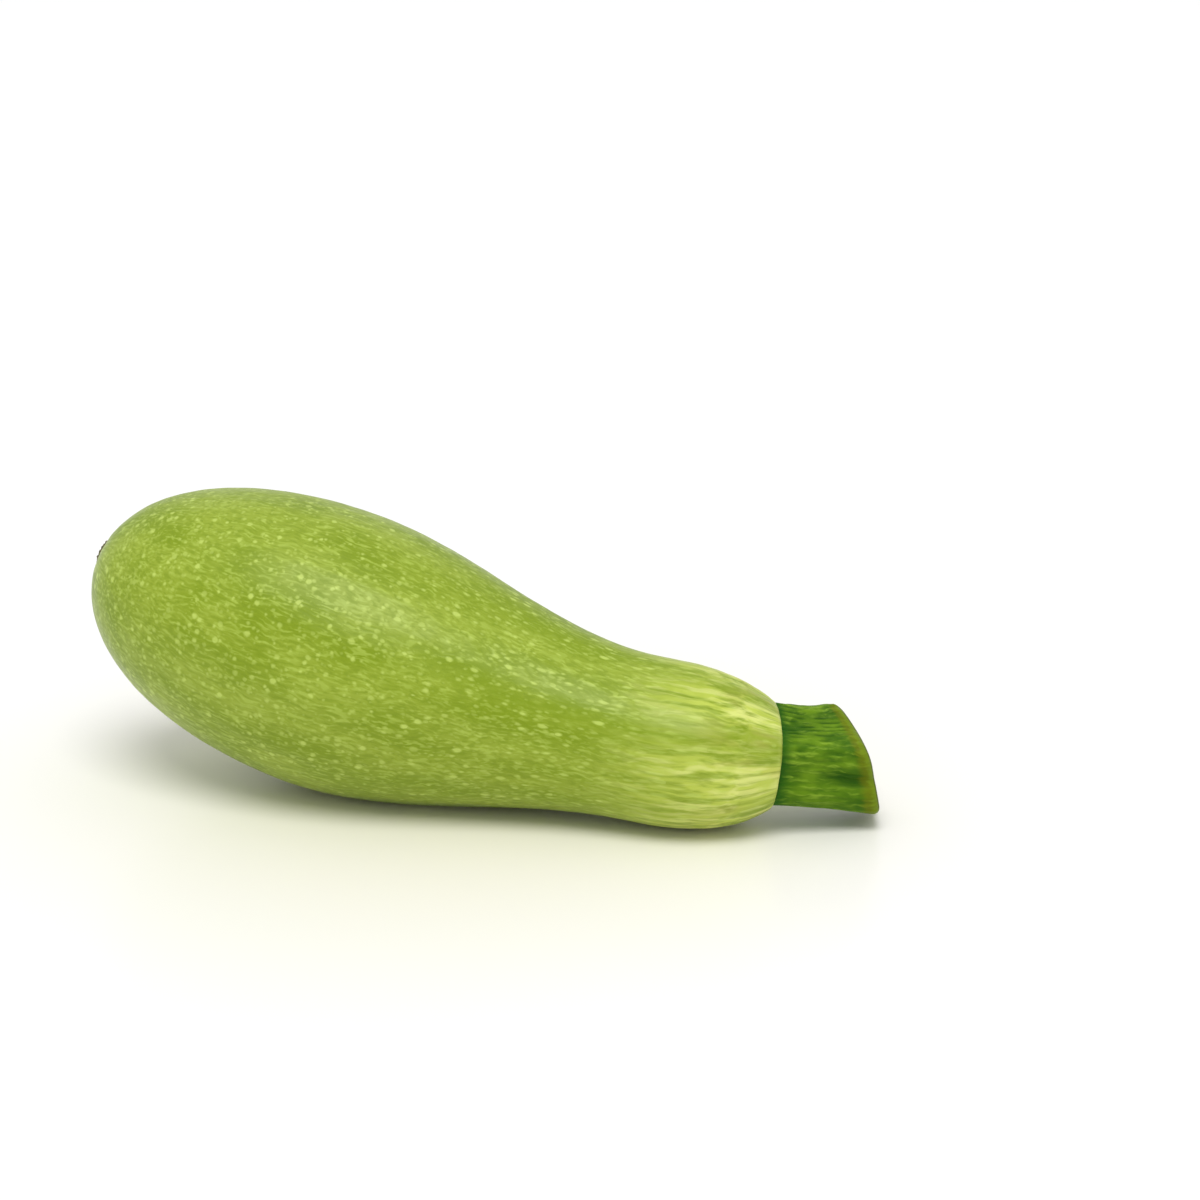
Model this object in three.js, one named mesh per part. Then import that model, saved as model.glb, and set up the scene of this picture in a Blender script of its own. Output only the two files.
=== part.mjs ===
// A young vegetable marrow lying on its side: a club-shaped fruit whose blossom end curls up off
// the surface, the dried scar of its flower, and the five-ribbed stub of stem it was cut with.
// Millimetres, +Z up. The blossom end points along -X and the stem end along +X.
import * as THREE from 'three';

// ---- Fruit: distances along its length are measured from the blossom end ----
const FRUIT_LENGTH = 170;
const BELLY_RADIUS = 34.4;
const BELLY_AT = 60;
const NECK_RADIUS = 20.2;
const NECK_AT = 140;
const BLOSSOM_ROUNDNESS = 2.15;
const SHOULDER_AT = 145;
const SHOULDER_TIP = 176;
const SHOULDER_ROUNDNESS = 2.2;

// ---- Spine: level at the neck, curling upwards towards the blossom end, most at the very tip ----
const NECK_HEIGHT = 18.7;
const CURL_RISE = 33.8;
const CURL_END = 165;
const CURL_POWER = 1.6;
const TIP_RISE = 1.5;
const TIP_POWER = 8;

// ---- Bend: the neck turns to +Y and dips over its last stretch, and the stem runs straight on ----
const BEND_START = 144;
const BEND_SIDEWAYS = 6.5;
const BEND_DIP = 1.7;

// ---- Ribs: five soft ridges, strongest where the stem joins. One points up, turned a little away ----
const RIB_COUNT = 5;
const RIB_TURN = THREE.MathUtils.degToRad(14);
const RIB_DEPTH = 0.02;
const RIB_START = 70;

// ---- Peduncle: the cut stem, its end face sloping upwards and worn back at the top ----
const PEDUNCLE_LENGTH = 24.4;
const PEDUNCLE_BASE_RADIUS = 11.8;
const PEDUNCLE_WAIST_RADIUS = 11.7;
const PEDUNCLE_END_RADIUS = 12.5;
const CUT_EDGE_ROUND = 1.2;
const PEDUNCLE_RIB_DEPTH = 0.09;
const CUT_DISH = 1;
const CUT_TILT = THREE.MathUtils.degToRad(17.5);
const CUT_TURN = THREE.MathUtils.degToRad(-6);
const CUT_WEAR = 4.5;
const CUT_WEAR_POWER = 1.8;

// ---- Blossom scar: a low corky button ----
const SCAR_RADIUS = 3.4;
const SCAR_TOP_RADIUS = 2.4;
const SCAR_HEIGHT = 1.1;
const SCAR_RIM_HEIGHT = 0.6;
const SCAR_SEAT_RADIUS = 3.6;

// ---- Gap between grown-together pieces, and how finely each is divided ----
const GAP = 0.3;
const AROUND = 48;
const FRUIT_STEPS = 40;
const PEDUNCLE_STEPS = 8;

// A quarter of a rounded outline: 1 at t = 0, falling to 0 at t = 1.
const dome = (t, power) => Math.pow(1 - Math.pow(Math.max(t, 0), power), 1 / power);

function fruitRadius(along) {
  const taper = THREE.MathUtils.smoothstep(along, BELLY_AT, NECK_AT);
  const body = THREE.MathUtils.lerp(BELLY_RADIUS, NECK_RADIUS, taper);
  const blossomDome = dome((BELLY_AT - along) / BELLY_AT, BLOSSOM_ROUNDNESS);
  const shoulder = dome((along - SHOULDER_AT) / (SHOULDER_TIP - SHOULDER_AT), SHOULDER_ROUNDNESS);
  return body * blossomDome * shoulder;
}

// Where the blossom dome is as wide as the scar's seat: the dome formula is its own inverse.
const SCAR_SEAT = BELLY_AT * (1 - dome(SCAR_SEAT_RADIUS / BELLY_RADIUS, BLOSSOM_ROUNDNESS));

// The middle of the fruit's cross-section at a station, and the spine's direction there.
function spine(along) {
  const left = Math.max(1 - along / CURL_END, 0);
  const rise = CURL_RISE * left ** CURL_POWER + TIP_RISE * left ** TIP_POWER;
  const curlSlope = CURL_RISE * CURL_POWER * left ** (CURL_POWER - 1);
  const tipSlope = TIP_RISE * TIP_POWER * left ** (TIP_POWER - 1);

  const bendLength = FRUIT_LENGTH - BEND_START;
  const bend = Math.max(along - BEND_START, 0) / bendLength;
  const bendSlope = (2 * bend) / bendLength;

  const sideways = BEND_SIDEWAYS * bend ** 2;
  const height = NECK_HEIGHT + rise - BEND_DIP * bend ** 2;
  const slope = -(curlSlope + tipSlope) / CURL_END - BEND_DIP * bendSlope;
  return {
    middle: new THREE.Vector3(along, sideways, height),
    forward: new THREE.Vector3(1, BEND_SIDEWAYS * bendSlope, slope).normalize(),
  };
}

// Angles are measured around the spine from straight up.
const ribWave = (angle) => Math.cos(RIB_COUNT * (angle - RIB_TURN));

// Moves a lathe turned about its own axis onto the spine. `reshape` says where each point goes: the
// station of its cross-section, how far ahead of that it lies, and how far out from the spine.
function ontoSpine(lathe, reshape) {
  const points = lathe.attributes.position;
  const point = new THREE.Vector3();
  for (let i = 0; i < points.count; i += 1) {
    point.fromBufferAttribute(points, i);
    const angle = Math.atan2(point.z, point.x);
    const { station, ahead, out } = reshape(point.y, angle, Math.hypot(point.x, point.z));
    const { middle, forward } = spine(station);
    const sideways = new THREE.Vector3(-forward.y, forward.x, 0).normalize();
    const upward = new THREE.Vector3().crossVectors(forward, sideways);
    point.copy(middle).addScaledVector(forward, ahead);
    point.addScaledVector(sideways, out * Math.sin(angle));
    point.addScaledVector(upward, out * Math.cos(angle));
    points.setXYZ(i, point.x, point.y, point.z);
  }
  lathe.deleteAttribute('normal');
  lathe.deleteAttribute('uv');
  return lathe;
}

// The fruit's own weight presses it flat where it touches the surface.
function flattenUnderside(geometry) {
  const points = geometry.attributes.position;
  for (let i = 0; i < points.count; i += 1) {
    points.setZ(i, Math.max(points.getZ(i), 0));
  }
  return geometry;
}

function fruitGeometry() {
  const profile = [new THREE.Vector2(0, SCAR_SEAT)];
  for (let i = 0; i <= FRUIT_STEPS; i += 1) {
    const share = (1 - Math.cos((Math.PI * i) / FRUIT_STEPS)) / 2;
    const along = THREE.MathUtils.lerp(SCAR_SEAT, FRUIT_LENGTH, share);
    profile.push(new THREE.Vector2(fruitRadius(along), along));
  }
  profile.push(new THREE.Vector2(0, FRUIT_LENGTH));
  const lathe = new THREE.LatheGeometry(profile, AROUND);
  const ribbed = ontoSpine(lathe, (along, angle, out) => {
    const strength = RIB_DEPTH * THREE.MathUtils.smoothstep(along, RIB_START, FRUIT_LENGTH);
    return { station: along, ahead: 0, out: out * (1 + strength * ribWave(angle)) };
  });
  return flattenUnderside(ribbed);
}

// Narrows from the base to a waist halfway along and widens again to the cut.
function peduncleRadius(share) {
  const { lerp, smoothstep } = THREE.MathUtils;
  const narrowing = lerp(PEDUNCLE_BASE_RADIUS, PEDUNCLE_WAIST_RADIUS, smoothstep(share, 0, 0.5));
  const widening = (PEDUNCLE_END_RADIUS - PEDUNCLE_WAIST_RADIUS) * smoothstep(share, 0.5, 1);
  return narrowing + widening;
}

function peduncleGeometry() {
  const profile = [new THREE.Vector2(0, 0)];
  for (let i = 0; i <= PEDUNCLE_STEPS; i += 1) {
    const share = i / PEDUNCLE_STEPS;
    profile.push(new THREE.Vector2(peduncleRadius(share), PEDUNCLE_LENGTH * share));
  }
  const edgeRadius = PEDUNCLE_END_RADIUS - CUT_EDGE_ROUND;
  profile.push(new THREE.Vector2(edgeRadius, PEDUNCLE_LENGTH + CUT_EDGE_ROUND / 2));
  profile.push(new THREE.Vector2(PEDUNCLE_END_RADIUS / 2, PEDUNCLE_LENGTH - CUT_DISH));
  profile.push(new THREE.Vector2(0, PEDUNCLE_LENGTH - CUT_DISH));
  const lathe = new THREE.LatheGeometry(profile, AROUND);
  return ontoSpine(lathe, (along, angle, out) => {
    const ribbed = out * (1 + PEDUNCLE_RIB_DEPTH * ribWave(angle));
    const slant = Math.tan(CUT_TILT) * Math.cos(angle) + Math.tan(CUT_TURN) * Math.sin(angle);
    const height = Math.max(ribbed * Math.cos(angle - RIB_TURN), 0);
    const worn = CUT_WEAR * (height / PEDUNCLE_END_RADIUS) ** CUT_WEAR_POWER;
    const cutBack = (along / PEDUNCLE_LENGTH) * (slant * ribbed + worn);
    return { station: FRUIT_LENGTH, ahead: GAP + along - cutBack, out: ribbed };
  });
}

function scarGeometry() {
  const foot = -GAP;
  const profile = [
    new THREE.Vector2(0, foot - SCAR_HEIGHT),
    new THREE.Vector2(SCAR_TOP_RADIUS, foot - SCAR_HEIGHT),
    new THREE.Vector2(SCAR_RADIUS, foot - SCAR_RIM_HEIGHT),
    new THREE.Vector2(SCAR_RADIUS, foot),
    new THREE.Vector2(0, foot),
  ];
  const lathe = new THREE.LatheGeometry(profile, AROUND / 2);
  return ontoSpine(lathe, (along, angle, out) => ({ station: SCAR_SEAT, ahead: along, out }));
}

function piece(name, geometry, color, roughness) {
  const material = new THREE.MeshStandardMaterial({ color, roughness, metalness: 0 });
  const mesh = new THREE.Mesh(geometry, material);
  mesh.name = name;
  return mesh;
}

const marrow = new THREE.Group();
marrow.add(piece('fruit', fruitGeometry(), 0x9dba4e, 0.42));
marrow.add(piece('peduncle', peduncleGeometry(), 0x3f7a2c, 0.6));
marrow.add(piece('blossom_scar', scarGeometry(), 0x5a5340, 0.9));

// The origin lies under the middle of the whole marrow.
const bounds = new THREE.Box3().setFromObject(marrow);
const middle = bounds.getCenter(new THREE.Vector3());
marrow.position.set(-middle.x, -middle.y, 0);

export default marrow;
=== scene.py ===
# A young vegetable marrow lying on its side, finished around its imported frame. Metres, +Z up.
# The fruit, its stub of stem and the scar of its flower repeat the frame's formulas as fine
# meshes with real relief, and each gets a procedural material.
import math

import bpy
import numpy as np
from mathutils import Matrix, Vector, noise


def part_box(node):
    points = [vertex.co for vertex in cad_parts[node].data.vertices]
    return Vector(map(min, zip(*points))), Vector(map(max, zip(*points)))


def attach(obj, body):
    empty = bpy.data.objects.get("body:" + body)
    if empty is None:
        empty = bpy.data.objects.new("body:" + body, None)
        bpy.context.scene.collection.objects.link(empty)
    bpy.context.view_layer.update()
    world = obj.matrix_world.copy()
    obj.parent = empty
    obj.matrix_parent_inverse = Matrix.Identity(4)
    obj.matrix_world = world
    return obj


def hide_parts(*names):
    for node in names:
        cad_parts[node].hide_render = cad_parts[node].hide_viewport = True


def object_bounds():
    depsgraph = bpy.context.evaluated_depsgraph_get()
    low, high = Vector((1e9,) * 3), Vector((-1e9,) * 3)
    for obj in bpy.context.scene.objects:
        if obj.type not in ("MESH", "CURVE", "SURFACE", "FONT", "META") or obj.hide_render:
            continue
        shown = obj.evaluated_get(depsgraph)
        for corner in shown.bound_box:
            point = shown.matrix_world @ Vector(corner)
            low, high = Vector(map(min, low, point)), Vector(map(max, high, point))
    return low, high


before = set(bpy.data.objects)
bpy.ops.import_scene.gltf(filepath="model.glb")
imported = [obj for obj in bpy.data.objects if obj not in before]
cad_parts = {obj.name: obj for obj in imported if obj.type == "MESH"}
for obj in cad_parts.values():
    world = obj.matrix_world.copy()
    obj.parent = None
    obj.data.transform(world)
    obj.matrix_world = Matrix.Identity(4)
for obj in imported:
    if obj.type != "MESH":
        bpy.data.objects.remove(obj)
cad_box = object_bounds()

MM = 0.001
TURN = 2 * math.pi

# ---- The frame's fruit: distances along it are measured from the blossom end ----
FRUIT_LENGTH = 170 * MM
BELLY_RADIUS = 34.4 * MM
BELLY_AT = 60 * MM
NECK_RADIUS = 20.2 * MM
NECK_AT = 140 * MM
BLOSSOM_ROUNDNESS = 2.15
SHOULDER_AT = 145 * MM
SHOULDER_TIP = 176 * MM
SHOULDER_ROUNDNESS = 2.2

# ---- The frame's spine ----
NECK_HEIGHT = 18.7 * MM
CURL_RISE = 33.8 * MM
CURL_END = 165 * MM
CURL_POWER = 1.6
TIP_RISE = 1.5 * MM
TIP_POWER = 8
BEND_START = 144 * MM
BEND_SIDEWAYS = 6.5 * MM
BEND_DIP = 1.7 * MM

# ---- The frame's ribs, stem and scar ----
RIB_COUNT = 5
RIB_TURN = math.radians(14)
RIB_DEPTH = 0.02
RIB_START = 70 * MM
PEDUNCLE_LENGTH = 24.4 * MM
PEDUNCLE_BASE_RADIUS = 11.8 * MM
PEDUNCLE_WAIST_RADIUS = 11.7 * MM
PEDUNCLE_END_RADIUS = 12.5 * MM
PEDUNCLE_RIB_DEPTH = 0.09
CUT_TILT = math.radians(17.5)
CUT_TURN = math.radians(-6)
CUT_DISH = 1 * MM
CUT_WEAR = 4.5 * MM
CUT_WEAR_POWER = 1.8
SCAR_RADIUS = 3.4 * MM
SCAR_HEIGHT = 1.1 * MM
SCAR_SEAT_RADIUS = 3.6 * MM
GAP = 0.3 * MM

# ---- How finely the pieces are divided, and how finely lengths and boxes are measured ----
FRUIT_AROUND = 320
FRUIT_STEPS = 285
PEDUNCLE_AROUND = 360
PEDUNCLE_STEPS = 110
CUT_STEPS = 60
SCAR_AROUND = 96
SCAR_STEPS = 40
SKIN_WAY_STEPS = 4000
CORNER_STEPS = 10
BOX_STATIONS = 400
BOX_ANGLES = 193


# ---- Formulas shared with the frame ----
def smoothstep(value, start, end):
    share = np.clip((value - start) / (end - start), 0, 1)
    return share * share * (3 - 2 * share)


def lerp(start, end, share):
    return start + (end - start) * share


def dome(share, power):
    """A quarter of a rounded outline: 1 at share 0, falling to 0 at share 1."""
    return (1 - np.clip(share, 0, 1) ** power) ** (1 / power)


def fruit_radius(along):
    body = lerp(BELLY_RADIUS, NECK_RADIUS, smoothstep(along, BELLY_AT, NECK_AT))
    blossom_dome = dome((BELLY_AT - along) / BELLY_AT, BLOSSOM_ROUNDNESS)
    shoulder = dome((along - SHOULDER_AT) / (SHOULDER_TIP - SHOULDER_AT), SHOULDER_ROUNDNESS)
    return body * blossom_dome * shoulder


SCAR_SEAT = BELLY_AT * (1 - float(dome(SCAR_SEAT_RADIUS / BELLY_RADIUS, BLOSSOM_ROUNDNESS)))


def spine(along):
    """Middle, forward, sideways and upward vectors of the cross-sections at these stations."""
    left = np.clip(1 - along / CURL_END, 0, None)
    rise = CURL_RISE * left**CURL_POWER + TIP_RISE * left**TIP_POWER
    curl_slope = CURL_RISE * CURL_POWER * left ** (CURL_POWER - 1)
    tip_slope = TIP_RISE * TIP_POWER * left ** (TIP_POWER - 1)
    bend_length = FRUIT_LENGTH - BEND_START
    bend = np.clip(along - BEND_START, 0, None) / bend_length
    bend_slope = 2 * bend / bend_length
    height = NECK_HEIGHT + rise - BEND_DIP * bend**2
    slope = -(curl_slope + tip_slope) / CURL_END - BEND_DIP * bend_slope
    middle = np.stack([along, BEND_SIDEWAYS * bend**2, height], -1)
    forward = np.stack([np.ones_like(along), BEND_SIDEWAYS * bend_slope, slope], -1)
    forward /= np.linalg.norm(forward, axis=-1, keepdims=True)
    sideways = np.stack([-forward[..., 1], forward[..., 0], np.zeros_like(along)], -1)
    sideways /= np.linalg.norm(sideways, axis=-1, keepdims=True)
    return middle, forward, sideways, np.cross(forward, sideways)


def onto_spine(station, ahead, out, angle):
    """Places points given by their angle from straight up and their distance out from the spine."""
    middle, forward, sideways, upward = spine(station)
    across = sideways * (out * np.sin(angle))[..., None] + upward * (out * np.cos(angle))[..., None]
    return middle + forward * ahead[..., None] + across


def rib_wave(angle):
    return np.cos(RIB_COUNT * (angle - RIB_TURN))


# ---- Noise over a whole grid of points ----
SEED_STEP = 17.3


def noise_at(points, size, seed):
    """Smooth noise from -1 to 1. `size` is how long a swell is in each direction."""
    shifted = points / np.array(size) + seed * SEED_STEP
    flat = [noise.noise(Vector(point)) for point in shifted.reshape(-1, 3)]
    return np.array(flat).reshape(points.shape[:-1])


def round_points(along, out, angle):
    """The points as they would lie on a straight spine, for patterns that run along the fruit."""
    return np.stack([along, out * np.cos(angle), out * np.sin(angle)], -1)


# ---- Meshes made of rings ----
def ring_mesh(name, rings, features, heights):
    """A closed mesh through rings of points, with a middle point closing each end.

    `features` are vectors per point for the material, and `heights` places the rings on the map.
    """
    count, around = rings.shape[:2]
    ends = np.stack([rings[0].mean(0), rings[-1].mean(0)])
    places = np.concatenate([rings.reshape(-1, 3), ends])
    column = np.arange(around)
    beside = (column + 1) % around
    row = np.arange(count - 1)[:, None] * around
    quads = np.stack([row + column, row + around + column, row + around + beside, row + beside], -1)
    first, last = count * around, count * around + 1
    top_row = (count - 1) * around
    caps_low = np.stack([np.full(around, first), column, beside], -1)
    caps_high = np.stack([np.full(around, last), top_row + beside, top_row + column], -1)
    faces = quads.reshape(-1, 4).tolist() + caps_low.tolist() + caps_high.tolist()
    mesh = bpy.data.meshes.new(name)
    mesh.from_pydata(places.tolist(), [], faces)

    left = np.broadcast_to(column / around, (count - 1, around))
    low = np.broadcast_to(heights[:-1, None], (count - 1, around))
    high = np.broadcast_to(heights[1:, None], (count - 1, around))
    corners = [(left, low), (left, high), (left + 1 / around, high), (left + 1 / around, low)]
    side_map = np.stack([np.stack(corner, -1) for corner in corners], -2).reshape(-1, 2)
    edge = column / around
    cap_map = []
    for height, order in ((heights[0], (0, 1)), (heights[-1], (1, 0))):
        middle = np.stack([edge + 0.5 / around, np.full(around, height)], -1)
        sides = [np.stack([edge + step / around, np.full(around, height)], -1) for step in order]
        cap_map.append(np.stack([middle, *sides], -2).reshape(-1, 2))
    bake_map = mesh.uv_layers.new(name="OFBake")
    bake_map.uv.foreach_set("vector", np.concatenate([side_map, *cap_map]).ravel())

    for feature, values in features.items():
        layer = mesh.attributes.new(feature, "FLOAT_VECTOR", "POINT")
        closing = np.stack([values[0].mean(0), values[-1].mean(0)])
        filled = np.concatenate([values.reshape(-1, 3), closing])
        layer.data.foreach_set("vector", filled.ravel())
    mesh.shade_smooth()
    mesh.update()
    return mesh


def add_piece(name, mesh, material, node):
    piece = bpy.data.objects.new(name, mesh)
    bpy.context.collection.objects.link(piece)
    mesh.materials.append(material)
    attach(piece, "root")
    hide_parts(node)
    return piece


def run_lengths(rings):
    """How far each ring lies along the surface, as a share of the whole way."""
    steps = np.linalg.norm(np.diff(rings, axis=0), axis=-1).mean(1)
    travelled = np.concatenate([[0], np.cumsum(steps)])
    return travelled / travelled[-1]


# ---- Materials ----
def shade(red, green, blue):
    """A colour given as it looks on a screen, 0 to 255, as the linear colour that nodes use."""
    linear = []
    for channel in (red, green, blue):
        share = channel / 255
        linear.append(share / 12.92 if share <= 0.04045 else ((share + 0.055) / 1.055) ** 2.4)
    return (*linear, 1)


CLOUD_ROUGHNESS = 0.55
WEAKEST_SPOT = 0.45


class Finish:
    """A material being built round its Principled shader.

    The methods from `feature` on add nodes and return the socket, or sockets, that they give.
    """

    def __init__(self, name):
        self.material = bpy.data.materials.new(name)
        self.material.use_nodes = True
        self.tree = self.material.node_tree
        self.shader = self.tree.nodes["Principled BSDF"]

    def node(self, kind, inputs, **settings):
        made = self.tree.nodes.new(kind)
        for key, value in settings.items():
            setattr(made, key, value)
        for key, value in inputs.items():
            self.feed(made.inputs[key], value)
        return made

    def feed(self, socket, value):
        if isinstance(value, bpy.types.NodeSocket):
            self.tree.links.new(value, socket)
        else:
            socket.default_value = value

    def set(self, **sockets):
        """Feeds the shader: base_color is its Base Color socket, and so on."""
        for key, value in sockets.items():
            words = key.replace("_", " ").title().replace("Ior", "IOR")
            self.feed(self.shader.inputs[words], value)

    def feature(self, name):
        return self.node("ShaderNodeAttribute", {}, attribute_name=name).outputs["Vector"]

    def split(self, vector):
        return self.node("ShaderNodeSeparateXYZ", {0: vector}).outputs

    def stretch(self, vector, x, y, z):
        made = self.node("ShaderNodeVectorMath", {0: vector, 1: (x, y, z)}, operation="MULTIPLY")
        return made.outputs[0]

    def wander(self, vector, size, amount):
        """The vector pushed about by noise, so that what is drawn with it runs unevenly."""
        push = self.node("ShaderNodeTexNoise", {"Vector": vector, "Scale": 1 / size, "Detail": 1})
        centred = self.node(
            "ShaderNodeVectorMath", {0: push.outputs["Color"], 1: (0.5, 0.5, 0.5)}, operation="SUBTRACT"
        )
        scaled = self.stretch(centred.outputs[0], amount, amount, amount)
        return self.node("ShaderNodeVectorMath", {0: vector, 1: scaled}, operation="ADD").outputs[0]

    def cloud(self, vector, size, detail=2):
        inputs = {"Vector": vector, "Scale": 1 / size, "Detail": detail, "Roughness": CLOUD_ROUGHNESS}
        return self.node("ShaderNodeTexNoise", inputs).outputs["Fac"]

    def spots(self, vector, size, smallest, largest, softness):
        """Spots one to a cell, each of its own size and strength. Sizes are shares of a cell."""
        cells = self.node("ShaderNodeTexVoronoi", {"Vector": vector, "Scale": 1 / size})
        chance = self.node("ShaderNodeSeparateColor", {0: cells.outputs["Color"]}).outputs
        reach = self.span(chance[0], 0, 1, smallest, largest)
        inside = self.sum("SUBTRACT", reach, cells.outputs["Distance"])
        spot = self.rise(inside, 0, softness)
        return self.sum("MULTIPLY", spot, self.span(chance[1], 0, 1, WEAKEST_SPOT, 1))

    def sum(self, operation, first, second):
        return self.node("ShaderNodeMath", {0: first, 1: second}, operation=operation).outputs[0]

    def rise(self, value, low, high):
        """0 below low, 1 above high, smooth between. It falls instead where low is above high."""
        inputs = {"Value": value, "From Min": low, "From Max": high}
        made = self.node("ShaderNodeMapRange", inputs, interpolation_type="SMOOTHSTEP")
        return made.outputs["Result"]

    def span(self, value, low, high, to_low, to_high):
        inputs = {"Value": value, "From Min": low, "From Max": high, "To Min": to_low, "To Max": to_high}
        return self.node("ShaderNodeMapRange", inputs).outputs["Result"]

    def blend(self, share, first, second):
        made = self.node("ShaderNodeMix", {0: share, 6: first, 7: second}, data_type="RGBA")
        return made.outputs[2]

    def bump(self, height, distance, strength=1):
        inputs = {"Height": height, "Distance": distance, "Strength": strength}
        return self.node("ShaderNodeBump", inputs).outputs["Normal"]


# ---- Fruit: how high its relief stands, and how long a swell is along and across the fruit ----
SWELL_HEIGHT = 0.35 * MM
SWELL_SIZE = (38 * MM, 17 * MM, 17 * MM)
SWELL_LOSS_NEAR_JOINT = 0.6
FURROW_HEIGHT = 0.14 * MM
FURROW_SIZE = (30 * MM, 5 * MM, 5 * MM)
DIMPLE_HEIGHT = 0.07 * MM
DIMPLE_SIZE = (4 * MM, 2.6 * MM, 2.6 * MM)
UNEVENNESS = 1.5
UNEVENNESS_SIZE = (40 * MM, 14 * MM, 14 * MM)
SHOULDER_FURROWS = 19
SHOULDER_FURROW_HEIGHT = 0.07 * MM
SHOULDER_FURROW_SWAY = 2
SHOULDER_FURROWS_START = FRUIT_LENGTH - 26 * MM
SHOULDER_FURROWS_FULL = FRUIT_LENGTH - 4 * MM
PUCKERS = 9
PUCKER_HEIGHT = 0.2 * MM
PUCKER_REACH = 5 * MM

# ---- Fruit: the lip rolls in at the joint, as shares of the gap and millimetres in from the edge ----
LIP_RISES = (0.35, 0.7, 1, 1, 1)
LIP_DEPTHS = (0.4, 1.1, 2.2, 4, 7)

# ---- Fruit: where its patterns lie along it, and how its flecks are drawn out towards the stem ----
FLECKS_ROUND_UNTIL = 50 * MM
FLECK_SQUEEZE = 0.72
FLECK_NARROWING = 0.5
THREAD_RADIUS = 17 * MM
SHOULDER_COLOUR_START = FRUIT_LENGTH - 42 * MM
SHOULDER_COLOUR_FULL = FRUIT_LENGTH - 6 * MM
STRIPES_START = 70 * MM
STRIPES_FULL = 110 * MM
JOINT_EDGE_START = FRUIT_LENGTH - 1.1 * MM
JOINT_EDGE_FULL = FRUIT_LENGTH - 0.3 * MM

# Angle from straight up, half-width and strength. The stripes lie between the ribs, none alike.
DARK_STRIPES = (
    (-60, 12, 1.4),
    (-122, 9, 0.5),
    (-10, 12, 0.8),
    (48, 12, 0.8),
    (104, 11, 0.6),
    (168, 12, 0.9),
)

# ---- Fruit: its colours as they look on a screen ----
SKIN_DARK = shade(128, 151, 18)
SKIN_LIGHT = shade(149, 169, 50)
THREAD_DARK = shade(118, 142, 14)
THREAD_PALE = shade(172, 194, 80)
STRIPE_DARK = shade(126, 150, 12)
CREAM_DEEP = shade(196, 211, 86)
CREAM_PALE = shade(222, 230, 130)
BLUSH = shade(204, 186, 110)
FLECK_PALE = shade(196, 216, 106)
JOINT_PALE = shade(210, 216, 116)


def fruit_relief(along, out, angle):
    """How far the skin stands out beyond the frame's smooth shape."""
    points = round_points(along, out, angle)
    swells = SWELL_HEIGHT * noise_at(points, SWELL_SIZE, 1)
    furrows = FURROW_HEIGHT * noise_at(points, FURROW_SIZE, 2)
    dimples = DIMPLE_HEIGHT * noise_at(points, DIMPLE_SIZE, 3)
    near_joint = smoothstep(along, SHOULDER_FURROWS_START, SHOULDER_FURROWS_FULL)
    uneven = UNEVENNESS * noise_at(points, UNEVENNESS_SIZE, 4)
    sway = uneven * SHOULDER_FURROW_SWAY
    pleats = SHOULDER_FURROW_HEIGHT * near_joint * np.sin(SHOULDER_FURROWS * angle + sway)
    from_scar = np.exp(-np.clip(out - SCAR_SEAT_RADIUS, 0, None) / PUCKER_REACH)
    near_tip = from_scar * (along < BELLY_AT / 2)
    puckers = PUCKER_HEIGHT * near_tip * np.sin(PUCKERS * angle + uneven)
    calmer_swells = swells * (1 - near_joint * SWELL_LOSS_NEAR_JOINT)
    return calmer_swells + furrows + dimples + pleats + puckers


def fruit_stations():
    """Stations evenly spaced over the skin, and how far along the skin each one lies."""
    fine = lerp(SCAR_SEAT, FRUIT_LENGTH, (1 - np.cos(np.linspace(0, math.pi, SKIN_WAY_STEPS))) / 2)
    reach = fruit_radius(fine)
    travelled = np.concatenate([[0], np.cumsum(np.hypot(np.diff(fine), np.diff(reach)))])
    skin_way = np.linspace(0, travelled[-1], FRUIT_STEPS)
    return np.interp(skin_way, travelled, fine), skin_way


def fruit_mesh(shift):
    """The fruit's side, ring by ring, then the lip that rolls in towards the stem."""
    stations, skin_way = fruit_stations()
    angle = np.broadcast_to(np.arange(FRUIT_AROUND) * TURN / FRUIT_AROUND, (FRUIT_STEPS, FRUIT_AROUND))
    along = np.broadcast_to(stations[:, None], angle.shape)
    smooth = fruit_radius(along)
    ribs = RIB_DEPTH * smoothstep(along, RIB_START, FRUIT_LENGTH) * rib_wave(angle)
    out = smooth * (1 + ribs) + fruit_relief(along, smooth, angle)
    rings = onto_spine(along, np.zeros_like(along), out, angle)

    lip_share = np.array(LIP_RISES)[:, None]
    lip_in = np.array(LIP_DEPTHS)[:, None] * MM
    lip_angle = np.broadcast_to(angle[:1], (len(lip_in), FRUIT_AROUND))
    lip_station = np.full(lip_angle.shape, FRUIT_LENGTH)
    lip_out = out[-1:] - lip_in
    lip = onto_spine(lip_station, lip_share * GAP + 0 * lip_out, lip_out, lip_angle)
    rings = np.concatenate([rings, lip]) + shift
    rings[..., 2] = np.clip(rings[..., 2], 0, None)

    angle = np.concatenate([angle, lip_angle])
    along = np.concatenate([along, lip_station])
    out = np.concatenate([out, lip_out])
    skin_way = np.concatenate([skin_way, np.full(len(lip_in), skin_way[-1])])[:, None] + 0 * along
    features = {
        "flecking": fleck_points(along, out, angle) / MM,
        "running": round_points(skin_way, np.maximum(out, THREAD_RADIUS), angle) / MM,
        "fruit_zones": fruit_zones(along, angle),
    }
    return ring_mesh("fruit", rings, features, run_lengths(rings))


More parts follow.
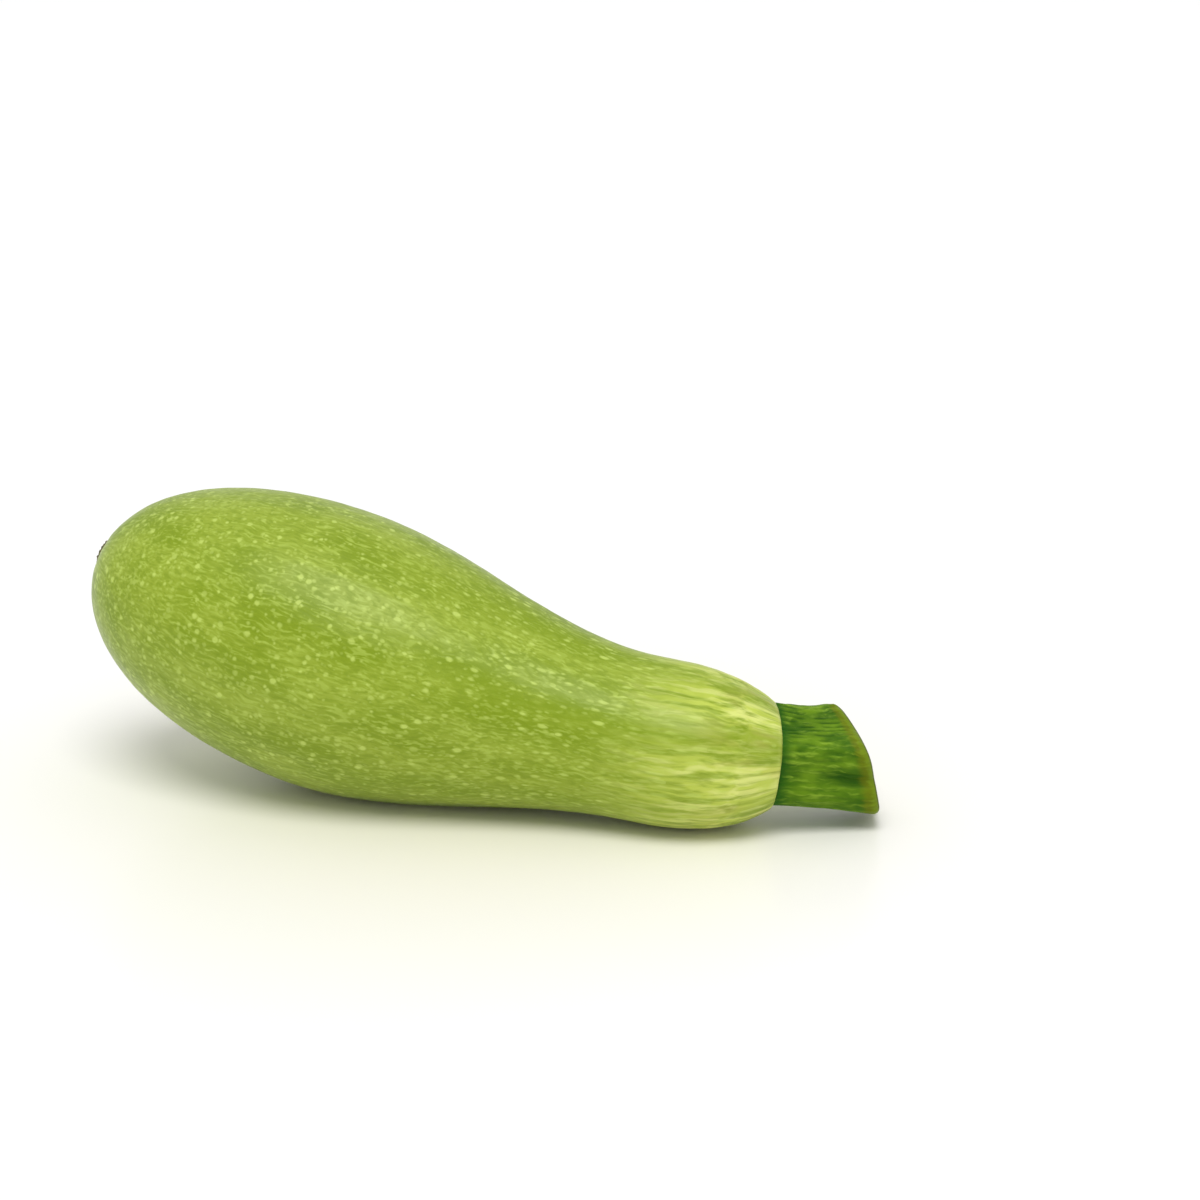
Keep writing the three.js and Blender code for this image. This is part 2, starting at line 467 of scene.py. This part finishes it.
def fleck_points(along, out, angle):
    """Like round_points, but squeezed towards the stem so that spots there come out long and thin."""
    beyond = np.clip(along - FLECKS_ROUND_UNTIL, 0, None)
    squeezed = along - FLECK_SQUEEZE * beyond**2 / (2 * (FRUIT_LENGTH - FLECKS_ROUND_UNTIL))
    narrowing = 1 + FLECK_NARROWING * smoothstep(along, BELLY_AT, NECK_AT)
    return round_points(squeezed, out * narrowing, angle)


def lobe(angle, centre, width):
    """1 at one angle round the fruit, fading out either side of it."""
    away = (angle - centre + math.pi) % TURN - math.pi
    return np.exp(-((away / width) ** 2))


def fruit_zones(along, angle):
    """Three shares per point: the pale shoulder, the darker stripes and the edge at the joint."""
    shoulder = smoothstep(along, SHOULDER_COLOUR_START, SHOULDER_COLOUR_FULL)
    from_waist = smoothstep(along, STRIPES_START, STRIPES_FULL)
    stripes = np.zeros_like(along)
    for centre, width, strength in DARK_STRIPES:
        stripes += strength * lobe(angle, math.radians(centre), math.radians(width))
    edge = smoothstep(along, JOINT_EDGE_START, JOINT_EDGE_FULL)
    return np.stack([shoulder, stripes * from_waist, edge], -1)


def fruit_finish():
    skin = Finish("fruit_skin")
    flecking = skin.feature("flecking")
    running = skin.feature("running")
    shoulder, stripes, edge = skin.split(skin.feature("fruit_zones"))

    patches = skin.cloud(skin.stretch(flecking, 0.6, 1, 1), 11)
    green = skin.blend(skin.rise(patches, 0.3, 0.7), SKIN_DARK, SKIN_LIGHT)
    green, waves, strands = threaded(skin, green, running)
    green = striped(skin, green, running, stripes)
    green = paled_at_shoulder(skin, green, running, strands, shoulder, stripes)
    green, flecks = flecked(skin, green, flecking, shoulder)
    green = skin.blend(skin.sum("MULTIPLY", edge, 0.15), green, JOINT_PALE)

    height = skin.sum("ADD", skin.sum("MULTIPLY", flecks, 0.5), waves)
    skin.set(
        base_color=green,
        roughness=skin.span(waves, 0.3, 0.7, 0.44, 0.36),
        normal=skin.bump(height, 0.06 * MM, 0.8),
        specular_ior_level=0.27,
        sheen_weight=0.08,
        sheen_roughness=0.4,
        subsurface_weight=0.05,
        subsurface_radius=(0.8, 1, 0.3),
        subsurface_scale=2 * MM,
    )
    return skin.material


def threaded(skin, green, running):
    """Fine dark and pale threads along the fruit. Also returns the waves and strands they follow."""
    threads = skin.wander(skin.wander(running, 7, 2.4), 1.6, 0.5)
    waves = skin.cloud(skin.stretch(threads, 0.2, 1, 1), 0.75, 1)
    strands = skin.cloud(skin.stretch(threads, 0.12, 0.5, 0.5), 0.9, 1)
    dark_lines = skin.sum("MULTIPLY", skin.rise(waves, 0.48, 0.32), 0.45)
    green = skin.blend(dark_lines, green, THREAD_DARK)
    paleness = skin.span(strands, 0.3, 0.7, 0.25, 0.72)
    pale_lines = skin.sum("MULTIPLY", skin.rise(waves, 0.5, 0.66), paleness)
    return skin.blend(pale_lines, green, THREAD_PALE), waves, strands


def striped(skin, green, running, stripes):
    """The broad darker stripes between the ribs, with ragged edges."""
    stripe_edge = skin.cloud(skin.stretch(skin.wander(running, 9, 2), 0.06, 0.5, 0.5), 1.2, 3)
    stripe = skin.sum("MULTIPLY", stripes, skin.rise(stripe_edge, 0.3, 0.55))
    return skin.blend(skin.sum("MULTIPLY", stripe, 0.6), green, STRIPE_DARK)


def paled_at_shoulder(skin, green, running, strands, shoulder, stripes):
    """The cream shoulder, veined, paler clear of the stripes, and blushed in patches at the joint."""
    veins = skin.cloud(skin.stretch(skin.wander(running, 9, 2), 0.035, 0.6, 0.6), 1, 3)
    clear_of_stripe = skin.span(stripes, 0, 1, 1, 0.3)
    paleness = skin.sum("MULTIPLY", shoulder, clear_of_stripe)
    creaminess = skin.sum("MULTIPLY", paleness, skin.rise(veins, 0.64, 0.4))
    cream = skin.blend(skin.rise(strands, 0.4, 0.62), CREAM_DEEP, CREAM_PALE)
    green = skin.blend(skin.sum("MULTIPLY", creaminess, 0.95), green, cream)
    blush_patches = skin.rise(skin.cloud(skin.stretch(running, 0.25, 0.6, 0.6), 3), 0.5, 0.68)
    blush = skin.sum("MULTIPLY", skin.sum("POWER", shoulder, 6), blush_patches)
    return skin.blend(skin.sum("MULTIPLY", blush, 0.2), green, BLUSH)


def flecked(skin, green, flecking, shoulder):
    """Large and small pale flecks, fading over the shoulder. Also returns the flecks themselves."""
    large = skin.spots(skin.wander(flecking, 1.1, 0.6), 2.3, 0.22, 0.44, 0.24)
    small = skin.spots(skin.wander(flecking, 0.6, 0.4), 1.5, 0.1, 0.5, 0.28)
    flecks = skin.sum("MAXIMUM", large, skin.sum("MULTIPLY", small, 0.55))
    fleck_share = skin.sum("MULTIPLY", flecks, skin.span(shoulder, 0, 1, 0.76, 0.35))
    return skin.blend(fleck_share, green, FLECK_PALE), flecks


# ---- Peduncle: pleats stand highest round one angle, one groove deepens towards the cut, and painted shade darkens the hollows ----
WRINKLE_HEIGHT = 0.3 * MM
WRINKLE_SIZE = (12 * MM, 3 * MM, 3 * MM)
WOBBLE_SIZE = (8 * MM, 5 * MM, 5 * MM)
BREAK_SIZE = (4 * MM, 1.8 * MM, 1.8 * MM)
PLEATS = 46
PLEAT_SWAY = 3.5
PLEAT_HEIGHT = 0.24 * MM
LEAST_PLEATING = 0.3
PLEATED_ANGLE = math.radians(-20)
PLEATED_WIDTH = math.radians(42)
GROOVE_DEPTH = 0.7 * MM
GROOVE_ANGLE = math.radians(-97)
GROOVE_WIDTH = math.radians(9)
GROOVE_SWAY = 0.15
# How strongly painted shade darkens the hollows of the pleats and the wrinkles.
PLEAT_SHADE = 0.7
WRINKLE_SHADE = 0.4
FOOT_FLARE = 0.15 * MM
FOOT_REACH = 2.2 * MM

# ---- Peduncle: its rounded corner, and its cut face, a little less dished than the frame's ----
CUT_ROUND = 1.9 * MM
DISH_SHARE = 0.8
PITH_HEIGHT = 0.25 * MM
PITH_SIZE = (2 * MM,) * 3

# ---- Peduncle: its colours as they look on a screen ----
STEM_DARK = shade(66, 106, 8)
STEM_LIGHT = shade(106, 142, 22)
STEM_STREAK = shade(126, 160, 42)
STEM_HOLLOW_SHADE = shade(30, 76, 2)
# The next colour is painted shade for the pleats, wrinkles and groove, not the stem's own green.
STEM_FOOT = shade(16, 80, 6)
STEM_BRIM = shade(106, 114, 6)
STEM_CALLUS = shade(122, 148, 30)
STEM_EDGE = shade(66, 74, 14)
CUT_RING = shade(116, 140, 44)
PITH_DEEP = shade(150, 178, 84)
PITH_PALE = shade(196, 212, 138)


def peduncle_radius(share):
    narrowing = lerp(PEDUNCLE_BASE_RADIUS, PEDUNCLE_WAIST_RADIUS, smoothstep(share, 0, 0.5))
    return narrowing + (PEDUNCLE_END_RADIUS - PEDUNCLE_WAIST_RADIUS) * smoothstep(share, 0.5, 1)


def peduncle_profile():
    """Distance along, distance in from the side and share of the cut face, ring by ring."""
    side = np.linspace(-2 * GAP, PEDUNCLE_LENGTH - CUT_ROUND, PEDUNCLE_STEPS)
    turn = np.linspace(0, math.pi / 2, CORNER_STEPS)[1:]
    corner = PEDUNCLE_LENGTH - CUT_ROUND + CUT_ROUND * np.sin(turn)
    corner_in = CUT_ROUND * (1 - np.cos(turn))
    face = np.linspace(0, 1, CUT_STEPS)[1:-1]
    along = np.concatenate([side, corner, np.full(len(face), PEDUNCLE_LENGTH)])
    inward = np.concatenate([np.zeros(len(side)), corner_in, np.full(len(face), CUT_ROUND)])
    across = np.concatenate([np.zeros(len(side) + len(corner)), face])
    return along[:, None], inward[:, None], across[:, None]


def peduncle_relief(points, angle, share):
    """How far the skin stands out beyond the frame's smooth shape, and how strongly painted shade
    darkens its pleats, wrinkles and groove.
    """
    wobble = noise_at(points, WOBBLE_SIZE, 5)
    broken = smoothstep(noise_at(points, BREAK_SIZE, 6), -0.4, 0.3)
    wrinkles = noise_at(points, WRINKLE_SIZE, 7)
    pleats = np.sin(PLEATS * angle + PLEAT_SWAY * wobble) * broken
    most_pleated = lobe(angle, PLEATED_ANGLE, PLEATED_WIDTH)
    pleating = LEAST_PLEATING + (1 - LEAST_PLEATING) * most_pleated
    groove = lobe(angle + GROOVE_SWAY * wobble, GROOVE_ANGLE, GROOVE_WIDTH)
    groove = groove * smoothstep(share, 0.3, 0.7)
    relief = PLEAT_HEIGHT * pleating * pleats + WRINKLE_HEIGHT * wrinkles - GROOVE_DEPTH * groove
    # The hollows of the pleats and wrinkles, and the groove, get painted shade in the colour.
    pleat_shade = PLEAT_SHADE * pleating * smoothstep(-pleats, -0.2, 0.9)
    wrinkle_shade = WRINKLE_SHADE * smoothstep(-wrinkles, 0, 0.5)
    return relief, np.clip(pleat_shade + groove + wrinkle_shade, 0, 1)


def peduncle_mesh(shift):
    """The stem's side, rounded corner and dished cut face, cut back by its slant and its wear."""
    along, inward, across = peduncle_profile()
    angle = np.arange(PEDUNCLE_AROUND)[None, :] * TURN / PEDUNCLE_AROUND + 0 * along
    share = along / PEDUNCLE_LENGTH
    side = peduncle_radius(share) * (1 + PEDUNCLE_RIB_DEPTH * rib_wave(angle))
    points = round_points(along + 0 * angle, side, angle)
    relief, hollow_shade = peduncle_relief(points, angle, share)
    flare = FOOT_FLARE * np.exp(-np.clip(along, 0, None) / FOOT_REACH)
    out = (side + relief + flare - inward) * (1 - across)
    slant = math.tan(CUT_TILT) * np.cos(angle) + math.tan(CUT_TURN) * np.sin(angle)
    height = np.clip(out * np.cos(angle - RIB_TURN), 0, None)
    worn = CUT_WEAR * (height / PEDUNCLE_END_RADIUS) ** CUT_WEAR_POWER
    cut_back = np.clip(share, 0, None) * (slant * out + worn)
    dish = CUT_DISH * smoothstep(across, 0, 0.5) * DISH_SHARE
    pith = PITH_HEIGHT * noise_at(round_points(0 * out, out, angle), PITH_SIZE, 8)
    face_relief = pith * smoothstep(across, 0.02, 0.2)
    ahead = GAP + along - cut_back - dish + face_relief
    rings = onto_spine(np.full(out.shape, FRUIT_LENGTH), ahead, out, angle) + shift
    features = {
        "grain": points / MM,
        # The first of these shares is the painted shade of the hollows.
        "stem_shade_and_zones": np.stack([hollow_shade, share + 0 * angle, across + 0 * angle], -1),
    }
    return ring_mesh("peduncle", rings, features, run_lengths(rings))


def peduncle_finish():
    flesh = Finish("peduncle_flesh")
    grain = flesh.feature("grain")
    hollow_shade, share, across = flesh.split(flesh.feature("stem_shade_and_zones"))

    lengthwise = flesh.stretch(flesh.wander(grain, 4, 1.4), 0.16, 1, 1)
    streaks = flesh.cloud(lengthwise, 1, 3)
    blotches = flesh.cloud(flesh.stretch(grain, 0.5, 1, 1), 4)
    green = flesh.blend(flesh.rise(blotches, 0.3, 0.7), STEM_DARK, STEM_LIGHT)
    green = flesh.blend(flesh.rise(streaks, 0.5, 0.72), green, STEM_STREAK)
    # Painted shade darkens the pleats, the wrinkles and the groove.
    green = flesh.blend(flesh.sum("MULTIPLY", hollow_shade, 0.85), green, STEM_HOLLOW_SHADE)
    green = worn_bands(flesh, green, share, streaks)

    pith = flesh.blend(flesh.cloud(grain, 2.5, 3), PITH_DEEP, PITH_PALE)
    green = flesh.blend(flesh.rise(across, 0.04, 0.14), green, CUT_RING)
    green = flesh.blend(flesh.rise(across, 0.14, 0.45), green, pith)

    flesh.set(
        base_color=green,
        roughness=flesh.span(streaks, 0.3, 0.7, 0.6, 0.48),
        normal=flesh.bump(streaks, 0.25 * MM, 0.6),
        specular_ior_level=0.1,
        subsurface_weight=0.04,
        subsurface_radius=(0.6, 1, 0.2),
        subsurface_scale=1 * MM,
    )
    return flesh.material


def worn_bands(flesh, green, share, streaks):
    """The dark foot at the joint, then the brim, callus and outer edge that the cut left."""
    frayed = flesh.sum("ADD", share, flesh.span(streaks, 0.3, 0.7, -0.03, 0.03))
    bands = (
        (flesh.rise(share, 0.16, 0), 0.8, STEM_FOOT),
        (flesh.rise(frayed, 0.8, 0.9), 0.7, STEM_BRIM),
        (flesh.rise(frayed, 0.9, 0.96), 0.5, STEM_CALLUS),
        (flesh.rise(share, 0.975, 1), 0.8, STEM_EDGE),
    )
    for band, strength, colour in bands:
        green = flesh.blend(flesh.sum("MULTIPLY", band, strength), green, colour)
    return green


# ---- Blossom scar: its outline, as shares of its radius and height, and how it crumbles ----
SCAR_FOOT_WIDTH = 1.06
SCAR_NARROWING = 0.12
SCAR_MIDDLE_CLOSED = 0.97
SCAR_SINK = 0.35
CRUMB_SIZE = (0.9 * MM,) * 3
FINE_CRUMB_SIZE = (0.45 * MM,) * 3
FINE_CRUMB_SHARE = 0.5
CRUMBLE_SIDEWAYS = 0.09
CRUMBLE_UPWARDS = 0.25
CORK_DARK = shade(72, 70, 48)
CORK_PALE = shade(132, 128, 92)


def scar_mesh(shift):
    """A low corky button with a sunken middle and a crumbling edge."""
    climb = np.linspace(0, 1, SCAR_STEPS)[:, None]
    angle = np.arange(SCAR_AROUND)[None, :] * TURN / SCAR_AROUND + 0 * climb
    rising = smoothstep(climb, 0, 0.3)
    inward = smoothstep(climb, 0.15, 1)
    side = SCAR_RADIUS * (SCAR_FOOT_WIDTH - SCAR_NARROWING * rising)
    smooth = side * (1 - SCAR_MIDDLE_CLOSED * inward)
    height = SCAR_HEIGHT * (rising - SCAR_SINK * smoothstep(climb, 0.5, 1))
    points = round_points(height + 0 * angle, smooth + 0 * angle, angle)
    crumble = noise_at(points, CRUMB_SIZE, 9)
    crumble = crumble + FINE_CRUMB_SHARE * noise_at(points, FINE_CRUMB_SIZE, 10)
    out = smooth * (1 + CRUMBLE_SIDEWAYS * crumble)
    ahead = GAP - height * (1 + CRUMBLE_UPWARDS * crumble)
    rings = onto_spine(np.full(out.shape, SCAR_SEAT), ahead, out, angle) + shift
    features = {"grain": points[::-1] / MM}
    return ring_mesh("blossom_scar", rings[::-1], features, run_lengths(rings))


def scar_finish():
    cork = Finish("scar_cork")
    grain = cork.feature("grain")
    crumbs = cork.cloud(grain, 0.7, 4)
    brown = cork.blend(cork.rise(crumbs, 0.35, 0.65), CORK_DARK, CORK_PALE)
    cork.set(
        base_color=brown,
        roughness=cork.span(crumbs, 0.3, 0.7, 0.95, 0.8),
        normal=cork.bump(crumbs, 0.3 * MM),
        specular_ior_level=0.2,
    )
    return cork.material


# ---- Stage: a floor that is white far off, with painted warm shade and bounce light near the object,
# white surroundings, one large soft light and the camera, which aims at a point given as shares of the
# frame's box ----
CAMERA_AIM = (0.232, 0.74, 0.63)
CAMERA_AZIMUTH = math.radians(18)
CAMERA_ELEVATION = math.radians(18)
CAMERA_DISTANCE = 1.13
CAMERA_LENS = 138
SENSOR_WIDTH = 36
CAMERA_CLIP_END = 20
FLOOR_HALF = 3
FLOOR_DROP = 0.05 * MM
# The floor's near colour is painted warm shade and bounce light, fading out within this distance of the
# middle.
FLOOR_PAINTED_SHADE_REACH = 0.18
FLOOR_FAR = (0.98, 0.98, 0.975, 1)
FLOOR_PAINTED_SHADE = (0.94, 0.9, 0.79, 1)
SURROUND_STRENGTH = 0.64
KEY_AZIMUTH = math.radians(14)
KEY_ELEVATION = math.radians(66)
KEY_WIDTH = math.radians(36)
KEY_STRENGTH = 1.75


def direction(azimuth, elevation):
    """From the object towards something at this azimuth, which is 0 on the -Y side."""
    level = math.cos(elevation)
    return Vector((math.sin(azimuth) * level, -math.cos(azimuth) * level, math.sin(elevation)))


def look(thing, target):
    thing.rotation_euler = (target - thing.location).to_track_quat("-Z", "Y").to_euler()


def box_point(shares):
    """A point given as shares of the frame's half-length and half-width, and of its height."""
    low, high = cad_box
    middle = (low + high) / 2
    half = (high - low) / 2
    x_share, y_share, z_share = shares
    height = low.z + z_share * (high.z - low.z)
    return Vector((middle.x + x_share * half.x, middle.y + y_share * half.y, height))


def add_camera():
    aim = box_point(CAMERA_AIM)
    data = bpy.data.cameras.new("camera")
    data.lens = CAMERA_LENS
    data.sensor_width = SENSOR_WIDTH
    data.clip_end = CAMERA_CLIP_END
    camera = bpy.data.objects.new("camera", data)
    camera.location = aim + direction(CAMERA_AZIMUTH, CAMERA_ELEVATION) * CAMERA_DISTANCE
    look(camera, aim)
    bpy.context.collection.objects.link(camera)
    bpy.context.scene.camera = camera


def add_key_light():
    """One broad soft light, even over the whole floor."""
    data = bpy.data.lights.new("key", "SUN")
    data.angle = KEY_WIDTH
    data.energy = KEY_STRENGTH
    light = bpy.data.objects.new("key", data)
    light.location = direction(KEY_AZIMUTH, KEY_ELEVATION)
    look(light, Vector((0, 0, 0)))
    bpy.context.collection.objects.link(light)


def add_surroundings():
    world = bpy.data.worlds.new("surroundings")
    world.use_nodes = True
    background = world.node_tree.nodes["Background"]
    background.inputs["Color"].default_value = (1, 1, 1, 1)
    background.inputs["Strength"].default_value = SURROUND_STRENGTH
    bpy.context.scene.world = world


def add_floor():
    corners = [(-1, -1), (1, -1), (1, 1), (-1, 1)]
    mesh = bpy.data.meshes.new("floor")
    places = [(x * FLOOR_HALF, y * FLOOR_HALF, -FLOOR_DROP) for x, y in corners]
    mesh.from_pydata(places, [], [(0, 1, 2, 3)])
    paper = Finish("floor_white_with_painted_shade")
    place = paper.node("ShaderNodeNewGeometry", {}).outputs["Position"]
    away = paper.node("ShaderNodeVectorMath", {0: place}, operation="LENGTH").outputs["Value"]
    # Painted warm shade and bounce light near the object, fading to white further off.
    painted_shade = paper.rise(away, FLOOR_PAINTED_SHADE_REACH, 0)
    floor_colour_with_painted_shade = paper.blend(painted_shade, FLOOR_FAR, FLOOR_PAINTED_SHADE)
    paper.set(base_color=floor_colour_with_painted_shade, roughness=0.3, specular_ior_level=0.3)
    mesh.materials.append(paper.material)
    floor = bpy.data.objects.new("floor", mesh)
    bpy.context.collection.objects.link(floor)


def frame_shift():
    """From the formulas' own origin to the frame's, found by matching the fruit's box."""
    stations = np.linspace(SCAR_SEAT, FRUIT_LENGTH, BOX_STATIONS)[:, None]
    angle = np.linspace(0, TURN, BOX_ANGLES)[None, :]
    along = stations + 0 * angle
    ribs = RIB_DEPTH * smoothstep(along, RIB_START, FRUIT_LENGTH) * rib_wave(angle)
    places = onto_spine(along, 0 * along, fruit_radius(along) * (1 + ribs), angle + 0 * along)
    low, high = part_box("fruit")
    own_low, own_high = places.min((0, 1)), places.max((0, 1))
    middle_y = (low.y + high.y) / 2 - (own_low[1] + own_high[1]) / 2
    return np.array([high.x - own_high[0], middle_y, 0])


bpy.context.scene.view_settings.view_transform = "Standard"
add_camera()
add_key_light()
add_surroundings()
add_floor()

shift = frame_shift()
add_piece("marrow_fruit", fruit_mesh(shift), fruit_finish(), "fruit")
add_piece("marrow_peduncle", peduncle_mesh(shift), peduncle_finish(), "peduncle")
add_piece("marrow_scar", scar_mesh(shift), scar_finish(), "blossom_scar")
